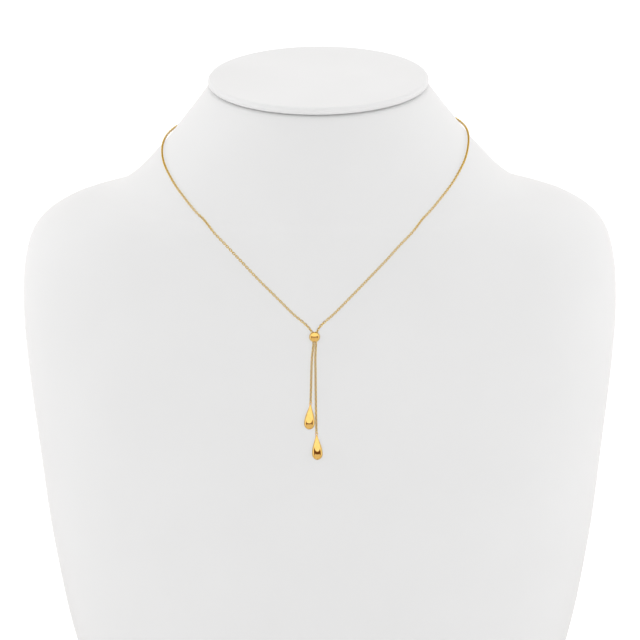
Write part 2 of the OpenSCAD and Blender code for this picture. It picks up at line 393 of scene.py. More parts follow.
@dataclass(frozen=True)
class GoldFinish:
    """Polished yellow gold: its tone and gloss vary a little, with the faint waves of hand polishing."""

    name: str
    color: Color = (0.96, 0.66, 0.22)
    deep_color: Color = (0.93, 0.60, 0.18)
    # Colour of painted shade that the tone goes towards where a link's shade value is 1
    shade_color: Color | None = None
    edge_tint: Color = (0.62, 0.56, 0.36)
    metallic: float = 1.0
    roughness: Range = (0.05, 0.11)
    tone_range: Range = (0.35, 0.65)
    gloss_range: Range = (0.3, 0.7)
    tone_cell: float = 1.5 * MM
    gloss_cell: float = 0.4 * MM
    gloss_detail: float = 4.0
    wave_cell: float = 0.9 * MM
    wave_depth: float = 0.002 * MM

    def material(self) -> bpy.types.Material:
        """Mixes the tones by noise, darkens them by the points' painted shade, and varies gloss and normal.

        Returns:
            The material.
        """
        material = bpy.data.materials.new(self.name)
        bench = NodeBench(material)
        place = bench.object_place()
        tone = bench.between(bench.noise(place, self.tone_cell), self.tone_range)
        gloss = bench.noise(place, self.gloss_cell, self.gloss_detail)
        color = bench.mixed_color(tone, self.deep_color, self.color)
        # Painted shade: the colour goes towards shade_color by the links' shade attribute
        if self.shade_color:
            shade = bench.add("ShaderNodeAttribute", attribute_name=SHADE).outputs["Fac"]
            color = bench.mixed_color(shade, color, self.shade_color)
        bench.finish(
            {
                "Base Color": color,
                "Metallic": self.metallic,
                "Specular Tint": (*self.edge_tint, 1.0),
                "Roughness": bench.between(gloss, self.gloss_range, self.roughness),
                "Normal": bench.bump(bench.noise(place, self.wave_cell), self.wave_depth),
            }
        )
        return material


@dataclass(frozen=True)
class LeatheretteFinish:
    """White leatherette: matte, with a very fine pebble grain and the faintest change of tone."""

    name: str
    color: Color = (0.70, 0.70, 0.70)
    shade_color: Color = (0.69, 0.69, 0.69)
    roughness: Range = (0.5, 0.62)
    specular: float = 0.35
    tone_range: Range = (0.3, 0.7)
    pebble_range: Range = (0.0, 0.8)
    tone_cell: float = 35 * MM
    pebble_cell: float = 0.45 * MM
    pebble_depth: float = 0.012 * MM
    pore_cell: float = 0.12 * MM
    pore_depth: float = 0.003 * MM

    def material(self) -> bpy.types.Material:
        """Lays fine pores over the dents between pebbles, which are also a little rougher.

        Returns:
            The material.
        """
        material = bpy.data.materials.new(self.name)
        bench = NodeBench(material)
        place = bench.object_place()
        tone = bench.between(bench.noise(place, self.tone_cell), self.tone_range)
        inputs = {"Vector": place, "Scale": 1 / self.pebble_cell, "Randomness": 1.0}
        pebble = bench.add("ShaderNodeTexVoronoi", inputs, feature="SMOOTH_F1").outputs["Distance"]
        coarse = bench.bump(pebble, self.pebble_depth, dents=True)
        bench.finish(
            {
                "Base Color": bench.mixed_color(tone, self.shade_color, self.color),
                "Roughness": bench.between(pebble, self.pebble_range, self.roughness),
                "Specular IOR Level": self.specular,
                "Normal": bench.bump(bench.noise(place, self.pore_cell), self.pore_depth, coarse),
            }
        )
        return material


# The bust


@dataclass(frozen=True)
class BustShape:
    """The bust's surface over the angle from the front, in degrees, and the share of its height.

    Each section row gives height share, half width over half of width, front over chest_depth, back
    over back_depth, the power of the oval, and lean over neck_lean.
    """

    axis_y: float
    width: float = 250 * MM
    height: float = 284 * MM
    chest_depth: float = 70 * MM
    back_depth: float = 52 * MM
    neck_lean: float = math.radians(8)
    sections: tuple[tuple[float, ...], ...] = (
        (0.00, 0.73, 0.93, 0.90, 2.4, 0),
        (0.15, 0.85, 0.985, 0.95, 2.4, 0),
        (0.31, 0.92, 1.00, 0.98, 2.4, 0),
        (0.46, 0.96, 0.985, 1.00, 2.4, 0),
        (0.59, 0.99, 0.955, 1.00, 2.4, 0.1),
        (0.68, 1.00, 0.915, 1.00, 2.4, 0.15),
        (0.755, 0.985, 0.87, 0.98, 2.3, 0.2),
        (0.80, 0.94, 0.83, 0.96, 2.2, 0.25),
        (0.83, 0.84, 0.80, 0.93, 2.1, 0.35),
        (0.85, 0.68, 0.765, 0.89, 2.0, 0.5),
        (0.90, 0.545, 0.69, 0.83, 2.0, 0.65),
        (0.955, 0.44, 0.61, 0.78, 2.0, 0.85),
        (1.00, 0.36, 0.555, 0.76, 2.0, 1.0),
    )

    def section_at(self, height: np.ndarray) -> np.ndarray:
        """Values of the section table at height shares.

        Between two rows each column follows the cubic that meets both rows' values and slopes; the
        slope at a row is that of the line through its two neighbours.

        Args:
            height: Height shares.

        Returns:
            The five values after the height, in a last axis.
        """
        table = np.array(self.sections)
        heights, values = table[:, 0], table[:, 1:]
        row = np.arange(len(table))
        low, high = np.maximum(row - 1, 0), np.minimum(row + 1, len(table) - 1)
        slopes = (values[high] - values[low]) / (heights[high] - heights[low])[:, None]
        i = np.clip(np.searchsorted(heights, height, side="right") - 1, 0, len(table) - 2)
        span = (heights[i + 1] - heights[i])[..., None]
        f = (np.asarray(height) - heights[i])[..., None] / span
        a, b = values[i], values[i + 1]
        slope_a, slope_b = slopes[i] * span, slopes[i + 1] * span
        square = 3 * (b - a) - 2 * slope_a - slope_b
        cube = 2 * (a - b) + slope_a + slope_b
        return a + slope_a * f + square * f**2 + cube * f**3

    def reach(self, angle: np.ndarray, height: np.ndarray) -> np.ndarray:
        """Distance from the axis to the oval's edge.

        The oval is |x / half width|^p + |y / depth|^p = 1, with the chest's depth in front of the
        axis and the back's behind it.

        Args:
            angle: Angles from the front, in degrees.
            height: Height shares.

        Returns:
            The distances.
        """
        values = self.section_at(height)
        turn = np.radians(angle)
        chest, back = values[..., 1] * self.chest_depth, values[..., 2] * self.back_depth
        depth = np.where(np.cos(turn) > 0, chest, back)
        power = values[..., 3]
        across = np.abs(np.sin(turn)) / (values[..., 0] * self.width / 2)
        along = np.abs(np.cos(turn)) / depth
        return (across**power + along**power) ** (-1 / power)

    def points(self, angle: Numbers, height: Numbers, inset: Numbers = 0, rise: Numbers = 0) -> np.ndarray:
        """Points of the surface: the oval's edge, tilted forward about x by the lean of its height.

        Args:
            angle: Angles from the front, in degrees.
            height: Height shares.
            inset: How far the edge is drawn in towards the axis.
            rise: How far the point is lifted square to the tilted oval.

        Returns:
            The points.
        """
        angle, height = np.broadcast_arrays(angle, height)
        turn = np.radians(angle)
        lean = self.section_at(height)[..., 4] * self.neck_lean
        out = self.reach(angle, height) - inset
        y = -out * np.cos(turn)
        return np.stack(
            [
                out * np.sin(turn),
                y * np.cos(lean) - rise * np.sin(lean) + self.axis_y,
                height * self.height + y * np.sin(lean) + rise * np.cos(lean),
            ],
            axis=-1,
        )

    def normals(self, angle: np.ndarray, height: np.ndarray) -> np.ndarray:
        """Outward normals: the cross product of the surface's slopes along the angle and the height.

        Args:
            angle: Angles from the front, in degrees.
            height: Height shares.

        Returns:
            The normals, of length 1.
        """
        half_turn, half_rise = 0.1, 0.0005
        along = self.points(angle + half_turn, height) - self.points(angle - half_turn, height)
        up = self.points(angle, height + half_rise) - self.points(angle, height - half_rise)
        return unit(np.cross(along, up))

    def place_points(self, places: np.ndarray) -> np.ndarray:
        """Points that stand off the surface along its normal; a place is angle, height share, stand-off."""
        angle, height, off = (places[..., part] for part in range(3))
        return self.points(angle, height) + off[..., None] * self.normals(angle, height)

    def turn_of(self, width: float, angle: float, height: float) -> float:
        """Degrees round the bust that a short width takes up at an angle and height share."""
        return math.degrees(width / float(self.reach(np.array(angle), np.array(height))))


def unit(vectors: np.ndarray) -> np.ndarray:
    """Vectors of the same direction and length 1."""
    return vectors / np.linalg.norm(vectors, axis=-1, keepdims=True)


@dataclass
class NeckBust:
    """The moulded neck, shoulders and chest, under its leatherette."""

    shape: BustShape
    finish: LeatheretteFinish
    neck_round: float = 1.6 * MM
    base_round: float = 1.2 * MM
    columns: int = 256
    rows: int = 200
    edge_rows: int = 9

    def skin(self) -> Skin:
        """Surface over the angle and the height share, with a quarter-round edge at both ends.

        On an edge of radius r at an angle t, the surface is drawn in by r (1 - cos t) and lies
        r (1 - sin t) short of the end.

        Returns:
            The closed surface.
        """
        t = np.linspace(0, np.pi / 2, self.edge_rows)
        base = self.base_round / self.shape.height
        top = self.neck_round / self.shape.height
        inner = np.linspace(base, 1 - top, self.rows)[1:-1]
        heights = np.concatenate([(base * (1 - np.sin(t)))[::-1], inner, 1 - top * (1 - np.sin(t))])
        no_inset = np.zeros(len(inner))
        inset = np.concatenate(
            [(self.base_round * (1 - np.cos(t)))[::-1], no_inset, self.neck_round * (1 - np.cos(t))]
        )
        angle = np.linspace(0, 360, self.columns, endpoint=False)
        rings = self.shape.points(angle[None, :], heights[:, None], inset[:, None])
        return stacked_skin(rings, rings[0].mean(axis=0), rings[-1].mean(axis=0))

    def build(self) -> bpy.types.Object:
        """Makes the piece."""
        return place_piece("bust_form", self.skin(), "neck_bust", Slot.BUST_SKIN, self.finish.material())


@dataclass
class CapPlate:
    """The oval plate over the neck: a round rim and a slightly domed top."""

    shape: BustShape
    finish: LeatheretteFinish
    thickness: float = 3.2 * MM
    lip: float = 0.9 * MM
    crown: float = 0.6 * MM
    gap: float = 0.3 * MM
    columns: int = 224
    rim_rows: int = 21
    top_rows: int = 28

    def skin(self) -> Skin:
        """Surface in two stretches over the neck's top outline.

        The rim is a half circle of half the plate's thickness, carried round the outline. The top
        goes from the rim to the middle at share t, rising by crown (1 - cos(pi t)) / 2.

        Returns:
            The closed surface.
        """
        rim = self.thickness / 2
        a = np.linspace(-np.pi / 2, np.pi / 2, self.rim_rows)[:, None]
        t = np.linspace(0, 1, self.top_rows + 1)[1:-1, None]
        angle = np.linspace(0, 360, self.columns, endpoint=False)[None, :]
        reach = self.shape.reach(angle, np.ones_like(angle))
        rim_inset = rim * (1 - np.cos(a)) - self.lip + 0 * angle
        top_inset = rim - self.lip + t * (reach - rim + self.lip)
        rim_rise = self.gap + rim * (1 + np.sin(a)) + 0 * angle
        top_rise = self.gap + self.thickness + self.crown * (1 - np.cos(np.pi * t)) / 2 + 0 * angle
        inset = np.concatenate([rim_inset, top_inset])
        rise = np.concatenate([rim_rise, top_rise])
        rings = self.shape.points(angle, np.ones_like(inset), inset, rise)
        pole = rings[-1].mean(axis=0)
        return stacked_skin(rings, rings[0].mean(axis=0), pole)

    def build(self) -> bpy.types.Object:
        """Makes the piece."""
        return place_piece("cap_plate", self.skin(), "bust_cap", Slot.CAP_SKIN, self.finish.material())


# The chain


@dataclass(frozen=True)
class Link:
    """An oval link of round wire, its long axis along x and its hole facing z."""

    wire_d: float = 0.28 * MM
    length: float = 1.67 * MM
    width: float = 1.1 * MM
    play: float = 0.14 * MM
    # Where the painted shade lies: towards the ends as shares of half the length, and beside the axis
    shaded_end: Range = (0.4, 0.75)
    side_shade: float = 0.5

    @property
    def pitch(self) -> float:
        """Distance between the middles of two links that pull on each other."""
        return self.length - 2 * self.wire_d - self.play

    @property
    def bend(self) -> float:
        """Radius of the wire's middle round a link's end."""
        return (self.width - self.wire_d) / 2

    @property
    def straight(self) -> float:
        """Distance from the link's middle to the middle of an end's bend."""
        return (self.length - self.width) / 2

    def rings(self, end_steps: int, wire_sides: int) -> np.ndarray:
        """Rings of the wire: a circle carried along two half circles that two straights join.

        Args:
            end_steps: Steps round each end.
            wire_sides: Points round the wire.

        Returns:
            Points as ring, point of the ring, coordinate.
        """
        end = np.repeat([0, 1], end_steps + 1)
        step = np.tile(np.arange(end_steps + 1), 2)
        a = np.pi * (end + step / end_steps - 0.5)[:, None]
        b = np.linspace(0, 2 * np.pi, wire_sides, endpoint=False)[None, :]
        radius = self.bend + self.wire_d / 2 * np.cos(b)
        x = self.straight * (1 - 2 * end)[:, None] + radius * np.cos(a)
        y = radius * np.sin(a)
        z = -self.wire_d / 2 * np.sin(b) + 0 * a
        return np.stack([x, y, z], axis=-1)

    def shade(self, rings: np.ndarray, turns: np.ndarray) -> np.ndarray:
        """Painted shade where the other links would shade a point: round the link's ends, and on the side
        turned inwards.

        Towards an end it rises from 0 to 1 over shaded_end, a range of shares of half the length.
        Across the link it is side_shade at the middle, and rises towards the bust. The larger counts.

        Args:
            rings: Points of the link, as ring, point of the ring, coordinate.
            turns: Turn of each link about the chain, in radians.

        Returns:
            Shade from 0 to 1, as link, ring, point of the ring.
        """
        low, high = self.shaded_end
        near_end = (np.abs(rings[..., 0]) / (self.length / 2) - low) / (high - low)
        outwards = rings[..., 1] / self.bend * np.sign(np.sin(turns))[:, None, None]
        return np.clip(np.maximum(near_end, self.side_shade - outwards), 0, 1)


class SurfaceCurve:
    """Smooth curve through chosen places over the bust, measured along its length."""

    def __init__(self, shape: BustShape, places: np.ndarray, steps: int = 12) -> None:
        """Measures the curve.

        Args:
            shape: Surface that the places refer to.
            places: Rows of angle, height share and stand-off.
            steps: Straight steps between two places that the length is summed over.
        """
        self.shape = shape
        before = 2 * places[:1] - places[1:2]
        after = 2 * places[-1:] - places[-2:-1]
        self.padded = np.concatenate([before, places, after])
        self.last = len(places) - 1
        self.shares = np.linspace(0, self.last, self.last * steps + 1)
        points = shape.place_points(self.places_at_share(self.shares))
        pieces = np.linalg.norm(np.diff(points, axis=0), axis=-1)
        self.lengths = np.concatenate([[0], np.cumsum(pieces)])

    def places_at_share(self, share: np.ndarray) -> np.ndarray:
        """Places on the curve, which counts 1 from each chosen place to the next.

        Between b and c, with a before and d after, a place is half of 2b + (c - a) f +
        (2a - 5b + 4c - d) f^2 + (3b - a - 3c + d) f^3.

        Args:
            share: Where on the curve, from 0 at the first place.

        Returns:
            The places.
        """
        i = np.clip(np.floor(share).astype(int), 0, self.last - 1)
        f = (share - i)[..., None]
        a, b, c, d = (self.padded[i + part] for part in range(4))
        square = 2 * a - 5 * b + 4 * c - d
        cube = 3 * b - a - 3 * c + d
        return (2 * b + (c - a) * f + square * f**2 + cube * f**3) / 2

    def places(self, length: np.ndarray) -> np.ndarray:
        """Places at lengths along the curve."""
        return self.places_at_share(np.interp(length, self.lengths, self.shares))

    @property
    def total(self) -> float:
        """Length of the whole curve."""
        return float(self.lengths[-1])

    def frames(self, length: np.ndarray, step: float) -> tuple[np.ndarray, np.ndarray, np.ndarray]:
        """Point, direction along the curve and outward direction square to it.

        Args:
            length: Lengths along the curve.
            step: How far before and after them the direction is taken.

        Returns:
            Three arrays of vectors.
        """
        places = self.places(length)
        ahead = self.shape.place_points(self.places(length + step))
        behind = self.shape.place_points(self.places(length - step))
        direction = unit(ahead - behind)
        normal = self.shape.normals(places[..., 0], places[..., 1])
        along = np.sum(normal * direction, axis=-1, keepdims=True)
        return self.shape.place_points(places), direction, unit(normal - along * direction)


# Each strand's way over the bust. A row gives the angle from the front in degrees, the height share,
# and the share of the way from the chain's stand-off to the ball's.
NECK_LEFT: Route = (
    (-5, 0.7025, 0.8),
    (-10, 0.719, 0.35),
    (-16, 0.7421, 0.1),
    (-23, 0.7687, 0),
    (-30, 0.7964, 0),
    (-36, 0.8195, 0),
    (-42, 0.838, 0),
    (-50, 0.8553, 0),
    (-60, 0.8768, 0),
    (-72, 0.8976, 0),
    (-90, 0.916, 0),
    (-115, 0.926, 0),
    (-145, 0.932, 0),
    (-180, 0.935, 0),
)
NECK_RIGHT: Route = (
    (0.4, 0.702, 0.8),
    (5, 0.7175, 0.35),
    (11, 0.74, 0.1),
    (18, 0.7665, 0),
    (25, 0.7926, 0),
    (31, 0.816, 0),
    (38, 0.8382, 0),
    (46, 0.8577, 0),
    (56, 0.8804, 0),
    (68, 0.9032, 0),
    (85, 0.924, 0),
    (110, 0.9315, 0),
    (145, 0.9345, 0),
    (180, 0.935, 0),
)
DROP_SHORT: Route = (
    (-2.95, 0.655, 0.7),
    (-3.15, 0.635, 0.2),
    (-3.3, 0.61, 0),
    (-3.5, 0.58, 0.1),
    (-3.55, 0.54, 0.1),
    (-3.55, 0.48, 0.1),
    (-3.55, 0.40, 0.1),
)
DROP_LONG: Route = (
    (-1.75, 0.655, 0.7),
    (-1.7, 0.635, 0.2),
    (-1.68, 0.61, 0),
    (-1.58, 0.57, 0),
    (-1.45, 0.54, 0.1),
    (-1.1, 0.48, 0.1),
    (-0.9, 0.42, 0.1),
    (-0.9, 0.34, 0.1),
)
NECK_ROUTES = {Side.LEFT: NECK_LEFT, Side.RIGHT: NECK_RIGHT}
DROP_ROUTES = {Side.LEFT: DROP_SHORT, Side.RIGHT: DROP_LONG}


@dataclass(frozen=True)
class Layout:
    """Where the necklace lies on the bust: the ball's place and the gaps."""

    shape: BustShape
    link: Link
    ball_d: float = 4.4 * MM
    strand_play: float = 0.13 * MM
    drop_d: float = 4.35 * MM
    clasp_d: float = 5.6 * MM
    clasp_wire_d: float = 1.1 * MM
    loop_d: float = 1.5 * MM
    loop_wire_d: float = 0.3 * MM
    loop_steps: int = 40
    loop_sides: int = 14
    rest_gap: float = 0.35 * MM
    ball_angle: float = -2.0
    ball_height: float = 0.6857
    link_turn: float = math.radians(45)

    @property
    def chain_off(self) -> float:
        """Stand-off of the chain's middle."""
        return self.rest_gap + self.link.width / 2

    @property
    def ball_off(self) -> float:
        """Stand-off of the ball's middle."""
        return self.rest_gap + self.ball_d / 2

    @property
    def drop_off(self) -> float:
        """Stand-off of a drop's axis at its widest."""
        return self.rest_gap + self.drop_d / 2

    @property
    def clasp_off(self) -> float:
        """Stand-off of the clasp's middle."""
        return self.rest_gap + self.clasp_wire_d / 2

    @property
    def strand_half(self) -> float:
        """Half the width of a strand whose links lie turned."""
        return self.link.bend * math.cos(self.link_turn) + self.link.wire_d / 2

    @property
    def strand_gap(self) -> float:
        """Distance between the middles of the two strands in the ball."""
        return 2 * self.strand_half + self.strand_play

    @property
    def bore_d(self) -> float:
        """Diameter of the bore: it clears the far corners of both strands, rounded by the wire.

        Returns:
            The diameter.
        """
        wire = self.link.wire_d / 2
        corner = math.hypot(self.strand_gap / 2 + self.strand_half - wire, self.strand_half - wire)
        return 2 * (corner + wire + self.strand_play)

    @property
    def mouth_up(self) -> float:
        """Height of the bore's mouth over the ball's middle."""
        return math.sqrt(self.ball_d**2 - self.bore_d**2) / 2

    @property
    def first_link_up(self) -> float:
        """Height of a drop chain's first link over the ball's middle."""
        return self.mouth_up - self.link.straight - self.link.wire_d

    @property
    def clasp_loop_at(self) -> float:
        """Distance from the clasp's middle to the middle of a loop on its side."""
        return (self.clasp_d + self.loop_d - self.loop_wire_d) / 2

    @property
    def loop_hang(self) -> float:
        """Distance from a link's middle to the loop wire that hangs in it."""
        return self.link.length / 2 - self.link.wire_d - self.link.play - self.loop_wire_d / 2

    def loop_ring(self) -> Skin:
        """A soldered loop, flat round z, as the drops and the clasp have it."""
        return wire_ring(self.loop_d, self.loop_wire_d, self.loop_steps, self.loop_sides)

    def ball_place(self, side: Side, up: float) -> list[float]:
        """Place in a strand's straight way through the ball, at a height over the ball's middle."""
        turn = self.shape.turn_of(self.strand_gap / 2, self.ball_angle, self.ball_height)
        return [self.ball_angle + side.value * turn, self.ball_height + up / self.shape.height, self.ball_off]

    def route_places(self, rows: Route) -> list[list[float]]:
        """Rows of a route with their third column turned into a stand-off."""
        return [[a, h, self.chain_off + share * (self.ball_off - self.chain_off)] for a, h, share in rows]

    def neck_curve(self, side: Side) -> SurfaceCurve:
        """Way of a strand from the drop chain's first link round the neck to the clasp's middle."""
        places = [self.ball_place(side, self.first_link_up)] + self.route_places(NECK_ROUTES[side])
        return SurfaceCurve(self.shape, np.array(places))

    def drop_curve(self, side: Side) -> SurfaceCurve:
        """Way of a drop chain from its first link, inside the ball, down the chest.

        Args:
            side: Side that the chain comes from.

        Returns:
            The curve, straight through the ball and then through the chosen places.
        """
        ups = (self.first_link_up, 0, -self.first_link_up - self.ball_d / 2)
        places = [self.ball_place(side, up) for up in ups] + self.route_places(DROP_ROUTES[side])
        return SurfaceCurve(self.shape, np.array(places))


def chain_skin(
    link: Link, curve: SurfaceCurve, lengths: np.ndarray, turns: np.ndarray, end_steps: int, wire_sides: int
) -> Skin:
    """Interlocking links as one mesh.

    Each link's x lies along the curve, and its y lies cos(turn) across the surface and sin(turn)
    out of it.

    Args:
        link: The link's shape.
        curve: Way of the links' middles.
        lengths: Where each middle is along the curve.
        turns: Turn of each link about the curve, in radians.
        end_steps: Steps round each end of a link.
        wire_sides: Points round the wire.

    Returns:
        The links' surface.
    """
    points, direction, out = curve.frames(lengths, link.wire_d)
    side = np.cross(out, direction)
    across = np.cos(turns)[:, None] * side + np.sin(turns)[:, None] * out
    axes = np.stack([direction, across, np.cross(direction, across)], axis=1)
    rings = link.rings(end_steps, wire_sides)
    copies = np.einsum("rwc,ncd->nrwd", rings, axes) + points[:, None, None, :]
    skin = repeated_skin(copies)
    # Painted shade on the links' ends and inner sides
    skin.shade = link.shade(rings, turns).reshape(-1)
    return skin


@dataclass
class NeckStrand:
    """The cable chain from the ball round one side of the neck, its last link in the clasp's loop."""

    layout: Layout
    side: Side
    finish: GoldFinish
    end_steps: int = 5
    wire_sides: int = 6
    settling_links: int = 8

    def turns(self, count: int) -> np.ndarray:
        """Turn of each link, in radians.

        At the ball the links lie turned by 45 degrees to either side. Over the first few they
        turn further by up to 45 degrees, so that they then lie flat and on edge in turn. The way
        of that turn is chosen so that the last link lies flat in the clasp's loop.

        Args:
            count: Number of links.

        Returns:
            The turns.
        """
        number = np.arange(1, count + 1)
        alternate = np.where(number % 2 == 1, 1, -1) * self.layout.link_turn
        last_sign = -1 if count % 2 == 1 else 1
        settled = np.clip(number / self.settling_links, 0, 1)
        return alternate + last_sign * self.layout.link_turn * settled

    def skin(self) -> Skin:
        """Lays links at equal distances from the drop chain's first link to the clasp's loop.

        Returns:
            The surface of the strand's links.
        """
        layout = self.layout
        curve = layout.neck_curve(self.side)
        loop_wire_at = layout.clasp_loop_at + (layout.loop_d - layout.loop_wire_d) / 2
        way = curve.total - loop_wire_at - layout.loop_hang
        count = round(way / layout.link.pitch)
        lengths = np.arange(1, count + 1) * way / count
        log.info("neck strand %s: %.1f mm, %d links", self.side.name.lower(), curve.total / MM, count)
        return chain_skin(layout.link, curve, lengths, self.turns(count), self.end_steps, self.wire_sides)

    def build(self) -> bpy.types.Object:
        """Makes the piece, named for its side.

        Returns:
            The object.
        """
        side = self.side.name.lower()
        node = f"neck_chain_{side}"
        return place_piece(f"neck_links_{side}", self.skin(), node, Slot.CHAIN_GOLD, self.finish.material())


@dataclass
class DropStrand:
    """A chain from the ball down to its drop, with the drop on its last link."""

    layout: Layout
    side: Side
    chain_finish: GoldFinish
    drop_finish: GoldFinish
    links: int
    drop_turn: float
    belly_rise: float = 0.0
    drop_l: float = 9.8 * MM
    neck_d: float = 0.9 * MM
    neck_in_wire: float = 0.25
    bottom_share: float = 0.25
    swell_power: float = 0.73
    end_steps: int = 7
    wire_sides: int = 8
    drop_sides: int = 72
    swell_rows: int = 40
    bottom_rows: int = 20
    shoulder_rows: int = 6

    @property
    def name(self) -> str:
        """Plain word for the strand."""
        return "short" if self.side is Side.LEFT else "long"

    def turn(self, number: np.ndarray) -> np.ndarray:
        """Turn of links by number: to one side and the other."""
        return np.where(np.asarray(number) % 2 == 0, 1, -1) * self.layout.link_turn

    def chain_mesh(self) -> Skin:
        """Lays the strand's links one pitch apart, from the ball down.

        Returns:
            The surface of the links.
        """
        number = np.arange(self.links)
        link = self.layout.link
        curve = self.layout.drop_curve(self.side)
        lengths = number * link.pitch
        return chain_skin(link, curve, lengths, self.turn(number), self.end_steps, self.wire_sides)

    def drop_body(self) -> Skin:
        """The polished drop below its loop, round z with z down the drop.

        The radius swells from the neck to the belly as (1 - cos(pi f^swell_power)) / 2, then closes
        as a quarter of an ellipse. A small quarter of an ellipse rounds the top of the neck, which
        reaches a share neck_in_wire of the loop's wire into that wire.

        Returns:
            The surface.
        """
        layout = self.layout
        loop_end = layout.loop_d - layout.loop_wire_d / 2
        top = loop_end - self.neck_in_wire * layout.loop_wire_d
        end = loop_end + self.drop_l
        belly = end - self.bottom_share * self.drop_l
        neck_r, belly_r = self.neck_d / 2, layout.drop_d / 2
        swell_top = top + neck_r / 2
        s = np.linspace(0, np.pi / 2, self.shoulder_rows + 1)[1:]
        f = np.linspace(0, 1, self.swell_rows + 1)[1:]
        b = np.linspace(0, np.pi / 2, self.bottom_rows + 1)[1:-1]
        swell = (1 - np.cos(np.pi * f**self.swell_power)) / 2
        stretches = (
            (neck_r * np.sin(s), top + (swell_top - top) * (1 - np.cos(s))),
            (neck_r + (belly_r - neck_r) * swell, swell_top + (belly - swell_top) * f),
            (belly_r * np.cos(b), belly + (end - belly) * np.sin(b)),
        )
        radii, heights = (np.concatenate(part) for part in zip(*stretches))
        rings = revolved_rings(radii, heights, self.drop_sides)
        return stacked_skin(rings, np.array([0, 0, top]), np.array([0, 0, end]))

    def drop_mesh(self) -> Skin:
        """Hangs the drop and its loop from the last link, with the belly on the chest.

        The drop's z runs from the loop to the belly's place on the chest, and its x lies across
        the chain as the y of one more link would.

        Returns:
            The surface of drop and loop.
        """
        layout = self.layout
        curve = layout.drop_curve(self.side)
        hang_at = np.array((self.links - 1) * layout.link.pitch + layout.loop_hang)
        point, along, out = curve.frames(hang_at, layout.link.wire_d)
        angle, height = curve.places(hang_at)[:2]
        belly_down = layout.loop_d - layout.loop_wire_d / 2 + self.drop_l * (1 - self.bottom_share)
        belly_height = height - belly_down / layout.shape.height
        belly_off = layout.drop_off + self.belly_rise
        belly = layout.shape.place_points(np.array([angle + self.drop_turn, belly_height, belly_off]))
        down = unit(belly - point)
        turn = self.turn(self.links)
        across = np.cos(turn) * np.cross(out, along) + np.sin(turn) * out
        x = unit(across - across @ down * down)
        axes = np.stack([x, np.cross(down, x), down])
        loop_r = (layout.loop_d - layout.loop_wire_d) / 2
        loop = moved_skin(layout.loop_ring(), UPRIGHT, np.array([0, 0, loop_r]))
        return moved_skin(joined_skins([self.drop_body(), loop]), axes, point)

    def build(self) -> list[bpy.types.Object]:
        """Makes the chain and the drop.

        Returns:
            Their two objects.
        """
        pieces = (
            ("drop_links", self.chain_mesh(), "drop_chain", Slot.CHAIN_GOLD, self.chain_finish),
            ("drop", self.drop_mesh(), "teardrop", Slot.POLISHED_GOLD, self.drop_finish),
        )
        return [
            place_piece(f"{name}_{self.name}", skin, f"{node}_{self.name}", slot, finish.material())
            for name, skin, node, slot, finish in pieces
        ]


@dataclass
class SlideBall:
    """The polished ball, bored for both strands."""

    layout: Layout
    finish: GoldFinish
    mouth_round: float = 0.12 * MM
    sides: int = 72
    outer_rows: int = 36
    edge_rows: int = 6
    bore_rows: int = 4

    def profile(self) -> tuple[np.ndarray, np.ndarray]:
        """Closed outline of half the ball, as radius and height.

        A circle of the ball's radius, a small round of radius m at each mouth that touches the
        ball and the bore, and the straight wall of the bore. The round's middle lies m outside the
        bore's wall and m inside the ball.

        Returns:
            Radii and heights.
        """
        ball_r, bore_r, m = self.layout.ball_d / 2, self.layout.bore_d / 2, self.mouth_round
        middle_r = bore_r + m
        middle_up = math.sqrt((ball_r - m) ** 2 - middle_r**2)
        touch = math.atan2(middle_up, middle_r)
        outer = np.linspace(-touch, touch, self.outer_rows)
        edge = np.linspace(touch, math.pi, self.edge_rows + 1)[1:]
        wall = np.linspace(middle_up, -middle_up, self.bore_rows + 1)[1:]
        lower = edge[:-1][::-1]
        stretches = (
            (ball_r * np.cos(outer), ball_r * np.sin(outer)),
            (middle_r + m * np.cos(edge), middle_up + m * np.sin(edge)),
            (np.full(len(wall), bore_r), wall),
            (middle_r + m * np.cos(lower), -middle_up - m * np.sin(lower)),
        )
        radii, heights = (np.concatenate(part) for part in zip(*stretches))
        return radii, heights

    def build(self) -> bpy.types.Object:
        """Makes the piece, with the bore along the strands.

        Returns:
            The object.
        """
        layout = self.layout
        angle, height = layout.ball_angle, layout.ball_height
        step = MM / layout.shape.height
        places = np.array([[angle, height + step * move, layout.ball_off] for move in (-1, 0, 1)])
        below, middle, above = layout.shape.place_points(places)
        direction = unit(above - below)
        out = layout.shape.normals(np.array(angle), np.array(height))
        side = unit(np.cross(out, direction))
        skin = looped_skin(revolved_rings(*self.profile(), self.sides))
        axes = np.stack([side, np.cross(direction, side), direction])
        placed = moved_skin(skin, axes, middle)
        return place_piece("lariat_ball", placed, "slide_ball", Slot.POLISHED_GOLD, self.finish.material())


@dataclass
class RingClasp:
    """The plain ring clasp on the back of the neck, with a soldered loop on each side."""

    layout: Layout
    finish: GoldFinish
    ring_steps: int = 72
    ring_sides: int = 24

    def skin(self) -> Skin:
        """Sets the two loops beside the ring and square to it.

        Returns:
            The surface, with the ring flat round z.
        """
        layout = self.layout
        ring = wire_ring(layout.clasp_d, layout.clasp_wire_d, self.ring_steps, self.ring_sides)
        middles = [np.array([side.value * layout.clasp_loop_at, 0, 0]) for side in Side]
        loops = [moved_skin(layout.loop_ring(), UPRIGHT, middle) for middle in middles]
        return joined_skins([ring, *loops])

    def build(self) -> bpy.types.Object:
        """Makes the piece, flat on the neck where both strands end.

        Returns:
            The object.
        """
        layout = self.layout
        angle, height, _ = NECK_ROUTES[Side.LEFT][-1]
        place = np.array([angle, height, layout.clasp_off])
        out = layout.shape.normals(place[0], place[1])
        side = np.array([1.0, 0.0, 0.0])
        axes = np.stack([side, np.cross(out, side), out])
        placed = moved_skin(self.skin(), axes, layout.shape.place_points(place))
        return place_piece("ring_clasp", placed, "clasp", Slot.POLISHED_GOLD, self.finish.material())


# The studio


